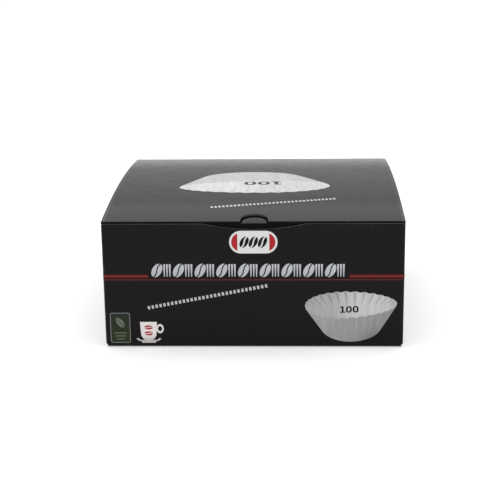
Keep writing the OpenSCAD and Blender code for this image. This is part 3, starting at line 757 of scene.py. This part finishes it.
def flap_patches(s):
    """The side flaps: a quarter fold and a panel with cut corners that springs up at its free end."""
    t, r = s.thickness, s.fold
    half_w, half_d = s.w / 2, s.d / 2
    front, back, cut = -half_d + t + FLAP_FRONT, half_d - t - FLAP_BACK, FLAP_CORNER
    free = half_w - s.flap_length
    path = joined(
        arc((half_w - r, s.side_top), r, 0, 90, 6),
        line((half_w - r, s.flap_top), (free + cut, s.flap_top), 14),
        line((free + cut, s.flap_top), (free, s.flap_top), 5, 0.3))
    inset = np.clip(free + cut - path[:, 0], 0, cut)
    share = np.linspace(0, 1, 41)[None, :]
    y = (front + inset)[:, None] + (back - front - 2 * inset)[:, None] * share
    x = np.repeat(path[:, :1], share.size, axis=1)
    along = np.clip((half_w - r - path[:, 0]) / (s.flap_length - r), 0, 1)[:, None]
    lift = s.flap_spring * along ** 2 * np.clip(1 - (y / half_d) ** 2, 0, 1)
    z = path[:, 1:] + lift
    wear = near(path[:, 1], s.side_top + 0.8, 0.9)[:, None] * (path[:, :1] > half_w - r) * np.ones_like(y)
    return [(np.stack([sign * x, y, z], axis=2), wear, ("along", (sign * 0.4, 0, 1)), 0) for sign in (-1, 1)]


def seam_patch(s):
    """The glued strip inside the left wall: a flat panel with slanted ends, seen from its plain side."""
    t = s.thickness
    y = np.linspace(s.d / 2 - t, s.d / 2 - t - SEAM, 8)
    slant = np.linspace(0, SEAM_SLANT, 8)
    low, high = 2 * t + s.fold + SEAM_GAP + slant, s.side_top - SEAM_GAP - slant
    share = np.linspace(0, 1, 12)[:, None]
    z = low + (high - low) * share
    grid = np.stack([np.full_like(z, -s.w / 2 + t), y[None, :] * np.ones_like(z), z], axis=2)
    return [(grid, 0.0, ("along", (-1, 0, 0)), 0)]


def crease_patches(s):
    """The lid's crease: a round bead on the back wall's top edge, about the line that the lid turns on."""
    inner_y = s.hinge_y - BEAD
    path = joined(
        line((s.d / 2, s.back_top), (s.d / 2, s.hinge_z), 2, 0.1),
        arc((s.hinge_y, s.hinge_z), BEAD, 0, 180, 10),
        line((inner_y, s.hinge_z), (inner_y, s.back_top), 2, 0.1))
    xs = spread(-s.w / 2 + s.fold, s.w / 2 - s.fold, 6)
    wobble = 0.05 * np.sin(xs * 0.9) * np.sin(xs * 0.23 + 1)
    grid = swept_x(path, xs)
    grid[..., 2] += wobble * np.clip((grid[..., 2] - s.back_top) / 0.7, 0, 1)
    return [(grid, 0.8, ("from", (0, s.hinge_y, s.hinge_z)), 0)]


def lid_patches(s, card):
    """The lid: an arc of a wide circle from the crease to the front fold, the fold, and the tuck flap below.
    The half-moon slit is left out between the panel and the tuck flap, and the tab stands in it."""
    lean = card.tuck_lean
    half_w, x0 = s.w / 2, s.thumb_place
    down = np.array([math.sin(lean), -math.cos(lean)])
    end = np.array([s.fold_y, s.fold_z]) - s.lid_fold * np.array([math.cos(lean), math.sin(lean)])
    tab_z = s.fold_z + s.lid_fold - TAB_DROP
    root = end + down * (end[1] - tab_z) / math.cos(lean)
    centre_y = root[0] + TAB_REACH
    cut = s.tab + s.slit
    back_angle = math.degrees(math.acos(s.hinge_y / s.arch_r))
    front_angle = math.degrees(math.acos(s.fold_y / (s.arch_r - s.lid_fold)))
    slit_angle = math.degrees(math.acos(centre_y / s.arch_r))
    over = arc((0, s.arch_z), s.arch_r, back_angle, slit_angle, 60)
    front = joined(
        arc((0, s.arch_z), s.arch_r, slit_angle, front_angle, 3),
        arc((s.fold_y, s.fold_z), s.lid_fold, front_angle, 180 + math.degrees(lean), 8),
        np.stack([end, root]))
    left = np.unique(np.concatenate([[-half_w], spread(-half_w + TUCK_INSET, x0 - cut, 6, 0.4)]))
    right = np.unique(np.concatenate([spread(x0 + cut, half_w - TUCK_INSET, 6, 0.4), [half_w]]))
    middle = x0 - cut * np.cos(np.linspace(0, math.pi, 33))
    up = ("from", (0, 0, 60))
    patches = []
    for xs in (left, right):
        path = joined(over, front)
        wear = 0.4 * near(path[:, 0], s.fold_y - 0.55, 0.75)[:, None] * np.ones((1, len(xs)))
        turned = (path[:-1, 0] < s.fold_y - 0.3)[:, None]
        slots = np.where(turned, TUCK, 0) * np.ones((1, len(xs) - 1), int)
        patches.append((swept_x(path, xs), wear, up, slots))
    rim_y = centre_y + np.sqrt(np.clip(cut ** 2 - (middle - x0) ** 2, 0, None))
    rim_angle = np.degrees(np.arccos(rim_y / s.arch_r))
    share = np.linspace(0, 1, 61)[:, None]
    angle = np.radians(back_angle + (rim_angle[None, :] - back_angle) * share)
    behind = np.stack([
        middle[None, :] * np.ones_like(angle), s.arch_r * np.cos(angle),
        s.arch_z + s.arch_r * np.sin(angle)], axis=2)
    patches.append((behind, 0.0, up, 0))
    tuck_x = np.concatenate([left[1:], middle[1:-1], right[:-1]])
    tuck_w = half_w - TUCK_INSET
    straight = s.tuck - (end[1] - tab_z) - TUCK_CORNER
    corner = TUCK_CORNER * np.sin(np.linspace(0.15, 1, 9) * math.pi / 2)
    step = np.concatenate([[0, 0.4], np.linspace(2, straight, 6), straight + corner])
    past = np.clip(step - straight, 0, TUCK_CORNER)
    width = tuck_w - TUCK_CORNER + np.sqrt(np.clip(TUCK_CORNER ** 2 - past ** 2, 0, None))
    tuck_y, tuck_z = root[0] + down[0] * step, root[1] + down[1] * step
    tuck = np.stack([
        tuck_x[None, :] * (width / tuck_w)[:, None],
        np.repeat(tuck_y[:, None], len(tuck_x), axis=1),
        np.repeat(tuck_z[:, None], len(tuck_x), axis=1)], axis=2)
    patches.append((tuck, 0.0, ("along", (0, -1, 0)), TUCK))
    reach = np.concatenate([[0, 1.2], TAB_REACH + s.tab * np.sin(np.linspace(0, math.pi / 2, 15))])
    half = np.sqrt(np.clip(s.tab ** 2 - np.clip(reach - TAB_REACH, 0, None) ** 2, 0, None))
    across = np.linspace(-1, 1, 25)[None, :]
    bow = 0.12 * np.sin(np.clip(reach / 12, 0, 1) * math.pi)[:, None]
    tab = np.stack([
        x0 + half[:, None] * across,
        (root[0] + reach * math.cos(TAB_SLOPE))[:, None] * np.ones_like(across),
        (tab_z + reach * math.sin(TAB_SLOPE))[:, None] + bow * (1 - across ** 2)], axis=2)
    patches.append((tab, 0.25, ("along", (0, 0, 1)), 0))
    return patches


# Nest of filters

# Lower inner and upper outer line of a filter's rim in millimetres: how far in, and how high
RIM_EDGE = ((0.35, 0.02), (0.0, 0.17))


def pleat_wave(turn, pleats, sharpness=0.94):
    """Folded wave from -1 to 1: the angle whose sine is a cosine of the turn, with nearly straight flanks."""
    return np.arcsin(sharpness * np.cos(pleats * turn)) / math.asin(sharpness)


def slow_waves(turn, seed):
    """Mean of five slow sines of the turn with seeded phases, raised to about -1 to 1."""
    draw = np.random.default_rng(seed)
    orders = draw.integers(2, 9, 5)
    phases = draw.uniform(0, 2 * math.pi, 5)
    return sum(np.sin(order * turn + phase) for order, phase in zip(orders, phases)) / 5 * 1.6


def nest_sizes(nest):
    """The nest's sizes in millimetres, worked out as the part's source does."""
    n = SimpleNamespace(
        base=nest.base / MM / 2, depth=nest.pleat_depth / MM, floor=NEST_FLOOR / MM, top=NEST_TOP / MM)
    n.rim = NEST_RADIUS / MM - n.depth / 2
    n.rise = (nest.filters - 1) * nest.pitch / MM
    n.tall = n.top - n.floor - n.rise
    return n


def filter_wall(n, nest, turn, share, lift, seed):
    """One filter's wall: the mean radius grows with the share of the height, and the pleats deepen too."""
    wave = pleat_wave(turn + 0.004 * slow_waves(turn, seed), nest.pleats)
    bend = slow_waves(turn, seed + 1)
    depth = n.depth / 2 * share ** 0.9 * (0.93 + 0.07 * slow_waves(turn, seed + 2))
    radius = n.base + (n.rim - n.base) * share + depth * wave - 0.25 * share * (1 + bend)
    z = n.floor + lift + n.tall * share ** 1.15 - 0.35 * share ** 4 * (1 + 0.6 * bend + 0.4 * wave)
    return np.stack([radius * np.cos(turn), radius * np.sin(turn), z * np.ones_like(radius)], axis=2)


def base_disc(n, turn, height, seed, rows=9):
    """Flat base: rings from the middle to the first pleats, with faint radial creases near the edge."""
    share = np.linspace(0, 1, rows)[:, None] ** 0.8
    wrinkle = 0.12 * np.sin(9 * turn + seed) * np.sin(5 * turn) * share ** 3 * (1 - share) * 4
    radius = n.base * share
    return np.stack([radius * np.cos(turn), radius * np.sin(turn), height + wrinkle], axis=2)


def nest_outside(n, nest):
    """The outermost filter and the stacked rims: each paper edge is a ring of its own, a little in or out."""
    turn = np.linspace(0, 2 * math.pi, nest.pleats * 8 + 1)[None, :]
    levels = [0, 0.03, 0.08, 0.15, 0.23, 0.32, 0.42, 0.52, 0.62, 0.72, 0.81, 0.89, 0.95, 1.0]
    share = np.array(levels)[:, None]
    wall = filter_wall(n, nest, turn, share, 0.0, 11)
    underside = base_disc(n, turn, n.floor, 3, 5)
    draw = np.random.default_rng(7)
    layers = nest.filters - 1
    level = np.arange(layers)[:, None] * nest.pitch / MM
    ring = filter_wall(n, nest, turn, np.array([[1.0]]), 0.0, 11)[0]
    direction = ring[:, :2] / np.linalg.norm(ring[:, :2], axis=1, keepdims=True)
    push = draw.normal(0, nest.unevenness / MM * 0.45, (layers, 1))
    drift = np.sin(turn * draw.integers(1, 4, (layers, 1)) + draw.uniform(0, 6.28, (layers, 1)))
    offset = np.clip(push + 0.3 * nest.unevenness / MM * drift, -0.9, 0.35)
    z = ring[None, :, 2] + level
    edges = []
    for inset, rise in RIM_EDGE:
        flat = ring[None, :, :2] + direction[None, :, :] * (offset - inset)[..., None]
        edges.append(np.concatenate([flat, z[..., None] + rise], axis=2))
    edges = np.stack(edges, axis=1).reshape(-1, turn.size, 3)
    # Painted shade: each rim's lower inner line is marked 1 and its upper outer line 0, so the paper greys in
    # the step down between stacked rims
    rim_gap_shade = np.tile([1.0, 0.0], layers)[:, None] * np.ones((1, turn.size))
    return [
        (underside, 0.0, ("along", (0, 0, -1)), 0),
        (wall, 0.0, ("from", (0, 0, 60)), 0),
        (edges, rim_gap_shade, ("from", (0, 0, 75)), 0)]


def nest_inside(n, nest):
    """The top filter: its bowl seen from above, down to its flat base."""
    turn = np.linspace(0, 2 * math.pi, nest.pleats * 14 + 1)[None, :]
    share = np.concatenate([np.linspace(0, 0.12, 6), np.linspace(0.18, 1.0, 34)])[:, None]
    wall = filter_wall(n, nest, turn, share, n.rise, 23)
    floor = base_disc(n, turn, n.floor + n.rise, 5)
    lip = wall[-1:].copy()
    away = lip[..., :2] / np.linalg.norm(lip[..., :2], axis=2, keepdims=True)
    lip = np.concatenate([lip, lip], axis=0)
    lip[1, :, :2] += away[0] * 0.18
    lip[1, :, 2] -= 0.3
    inward = ("along", (0, 0, 1))
    # The lip strip carries 0.6, which greys the paper there as painted shade on the rim's turned-down edge
    return [(floor, 0.0, inward, 0), (wall, 0.0, inward, 0), (lip, 0.6, inward, 0)]


# Operators

# Half the floor's width and its drop below the carton, in metres
FLOOR_HALF = 12.0
FLOOR_DROP = 0.0004


class CARTON_OT_walls(bpy.types.Operator):
    """Folds the carton's walls, bottom, side flaps and crease"""

    bl_idname = "carton.walls"
    bl_label = "Carton"

    def execute(self, context):
        card = context.scene.carton_card
        s = card_sizes(card)
        patches = wall_patches(s) + bottom_patches(s) + flap_patches(s) + seam_patch(s)
        printed = wall_varnish(card, context.scene.carton_print)
        carton = piece("carton_card", patches, [printed, plain_board(card), cut_edge("cut_edge", 0.18)])
        thicken(carton, card.thickness)
        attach(carton, "carton_body")
        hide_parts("carton")
        crease = piece("lid_crease", crease_patches(s), [carton.data.materials[0]])
        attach(crease, "carton_body")
        return {"FINISHED"}


class CARTON_OT_lid(bpy.types.Operator):
    """Bends the lid with its front fold, tuck flap and thumb tab"""

    bl_idname = "carton.lid"
    bl_label = "Lid"

    def execute(self, context):
        card = context.scene.carton_card
        # The lid's cut edge is the carton's cut edge at a third of its grey level, 0.06 against 0.18: painted
        # shade on the lid's edges
        board, edge = plain_board(card), cut_edge("lid_cut_edge", 0.06)
        # The front fold and the tuck flap take the dimmed varnish, a painted shade for the recess behind the
        # front wall
        finishes = [lid_varnish(card), board, edge, tuck_varnish(card), board, edge]
        lid = piece("lid_card", lid_patches(card_sizes(card), card), finishes)
        thicken(lid, card.thickness)
        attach(lid, "lid_body")
        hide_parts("lid")
        return {"FINISHED"}


class CARTON_OT_nest(bpy.types.Operator):
    """Pleats the nest of filters"""

    bl_idname = "carton.nest"
    bl_label = "Filters"

    def execute(self, context):
        nest = context.scene.carton_nest
        n = nest_sizes(nest)
        paper = filter_paper(nest)
        outside = piece("nest_outside", nest_outside(n, nest), [paper])
        inside = piece("nest_inside", nest_inside(n, nest), [paper])
        for part in (outside, inside):
            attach(part, "carton_body")
        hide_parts("filter_stack")
        return {"FINISHED"}


class CARTON_OT_print(bpy.types.Operator):
    """Gives each printed film its ink"""

    bl_idname = "carton.print"
    bl_label = "Print"

    def execute(self, context):
        inks = context.scene.carton_print
        finishes = {
            "red_print": ink("red_ink", lambda tree: red_tone(tree, inks), 0.1),
            "silver_print": ink("silver_ink", lambda tree: silver_tone(tree, inks)),
            "white_print": ink("white_ink", lambda tree: white_tone(tree, inks)),
            "grey_print": ink("grey_ink", lambda tree: grey_tone(tree, inks)),
            "green_print": ink("green_ink", lambda tree: green_tone(tree, inks)),
            "lid_white_print": ink("lid_white_ink", lambda tree: lid_paper(tree, inks, 0.59, 0.51, 1.0)),
            "lid_grey_print": ink("lid_grey_ink", lambda tree: lid_paper(tree, inks, 0.53, 0.475, 0.80)),
        }
        for node, material in finishes.items():
            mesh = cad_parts[node].data
            mesh.materials.clear()
            mesh.materials.append(material)
        return {"FINISHED"}


class CARTON_OT_stage(bpy.types.Operator):
    """Sets the floor, the light and the camera"""

    bl_idname = "carton.stage"
    bl_label = "Stage"

    def execute(self, context):
        stage = context.scene.carton_stage
        scene = context.scene
        scene.view_settings.view_transform = "Standard"
        mesh = bpy.data.meshes.new("floor")
        signs = ((-1, -1), (1, -1), (1, 1), (-1, 1))
        corners = [(FLOOR_HALF * x, FLOOR_HALF * y, -FLOOR_DROP) for x, y in signs]
        mesh.from_pydata(corners, [], [(0, 1, 2, 3)])
        floor = bpy.data.objects.new("floor", mesh)
        scene.collection.objects.link(floor)
        material, tree, shader = finish_named("studio_floor")
        shader.inputs["Emission Color"].default_value = (1, 1, 1, 1)
        shader.inputs["Emission Strength"].default_value = stage.floor_glow
        coat(tree, shader, colour=tuple(stage.floor), rough=0.9, gloss=0.1)
        mesh.materials.append(material)
        world = bpy.data.worlds.new("surround")
        world.use_nodes = True
        world.node_tree.nodes["Background"].inputs["Color"].default_value = (1, 1, 1, 1)
        world.node_tree.nodes["Background"].inputs["Strength"].default_value = stage.sky
        scene.world = world
        light = bpy.data.lights.new("soft_box", "AREA")
        light.shape = "RECTANGLE"
        light.size = 2.4
        light.size_y = 1.6
        light.energy = stage.key
        box = bpy.data.objects.new("soft_box", light)
        box.matrix_world = Matrix.Translation((0.0, 0.2, 1.9))
        scene.collection.objects.link(box)
        camera = bpy.data.cameras.new("camera")
        camera.lens = stage.lens
        camera.sensor_width = 36
        camera.clip_start = 0.01
        holder = bpy.data.objects.new("camera", camera)
        yaw, pitch, roll = stage.yaw, stage.pitch, stage.roll
        look = Vector((math.sin(yaw) * math.cos(pitch), math.cos(yaw) * math.cos(pitch), -math.sin(pitch)))
        level = Vector((math.cos(yaw), -math.sin(yaw), 0))
        lift = level.cross(look)
        right = math.cos(roll) * level + math.sin(roll) * lift
        up = -math.sin(roll) * level + math.cos(roll) * lift
        turn = Matrix((right, up, -look)).transposed().to_4x4()
        holder.matrix_world = Matrix.Translation(stage.eye) @ turn
        scene.collection.objects.link(holder)
        scene.camera = holder
        return {"FINISHED"}


class CARTON_PT_pieces(bpy.types.Panel):
    """Lists the pieces of the filter carton"""

    bl_label = "Filter carton"
    bl_idname = "CARTON_PT_pieces"
    bl_space_type = "VIEW_3D"
    bl_region_type = "UI"
    bl_category = "Filter carton"

    def draw(self, context):
        for settings, operators in GROUPS.items():
            box = self.layout.box()
            group = getattr(context.scene, settings)
            for name in group.__annotations__:
                box.prop(group, name)
            for operator in operators:
                box.operator(operator.bl_idname)


GROUPS = {
    "carton_card": (CARTON_OT_walls, CARTON_OT_lid),
    "carton_nest": (CARTON_OT_nest,),
    "carton_print": (CARTON_OT_print,),
    "carton_stage": (CARTON_OT_stage,),
}
SETTINGS = {
    "carton_card": CardSettings,
    "carton_nest": NestSettings,
    "carton_print": PrintSettings,
    "carton_stage": StageSettings,
}
CLASSES = (*SETTINGS.values(), *sum(GROUPS.values(), ()), CARTON_PT_pieces)


def register():
    for cls in CLASSES:
        bpy.utils.register_class(cls)
    for name, cls in SETTINGS.items():
        setattr(bpy.types.Scene, name, PointerProperty(type=cls))


def unregister():
    for name in SETTINGS:
        delattr(bpy.types.Scene, name)
    for cls in reversed(CLASSES):
        bpy.utils.unregister_class(cls)


def main():
    register()
    bpy.ops.carton.stage()
    bpy.ops.carton.walls()
    bpy.ops.carton.lid()
    bpy.ops.carton.nest()
    bpy.ops.carton.print()
    bpy.context.view_layer.update()


if __name__ == "__main__":
    main()
